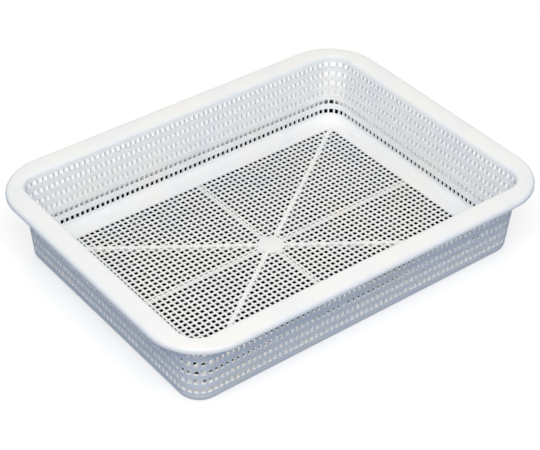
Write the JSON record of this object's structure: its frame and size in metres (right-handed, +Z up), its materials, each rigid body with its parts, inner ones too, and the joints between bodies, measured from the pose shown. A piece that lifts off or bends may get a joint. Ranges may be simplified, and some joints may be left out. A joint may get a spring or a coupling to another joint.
{
  "type": "autoclave basket",
  "caption": "Shallow rectangular basket moulded in white plastic, with a mesh floor, rows of slots round its drafted walls and a broad turned-down rim.",
  "frame": {"origin": "centre of the footprint, on the surface that the basket stands on", "axes": "+X along the length, +Y along the width, +Z up out of the open top"},
  "size_m": [0.3676, 0.2786, 0.068],
  "materials": {
    "white_polypropylene": "satin, as moulded"
  },
  "bodies": {
    "root": {"basket": "white_polypropylene"}
  },
  "joints": []
}
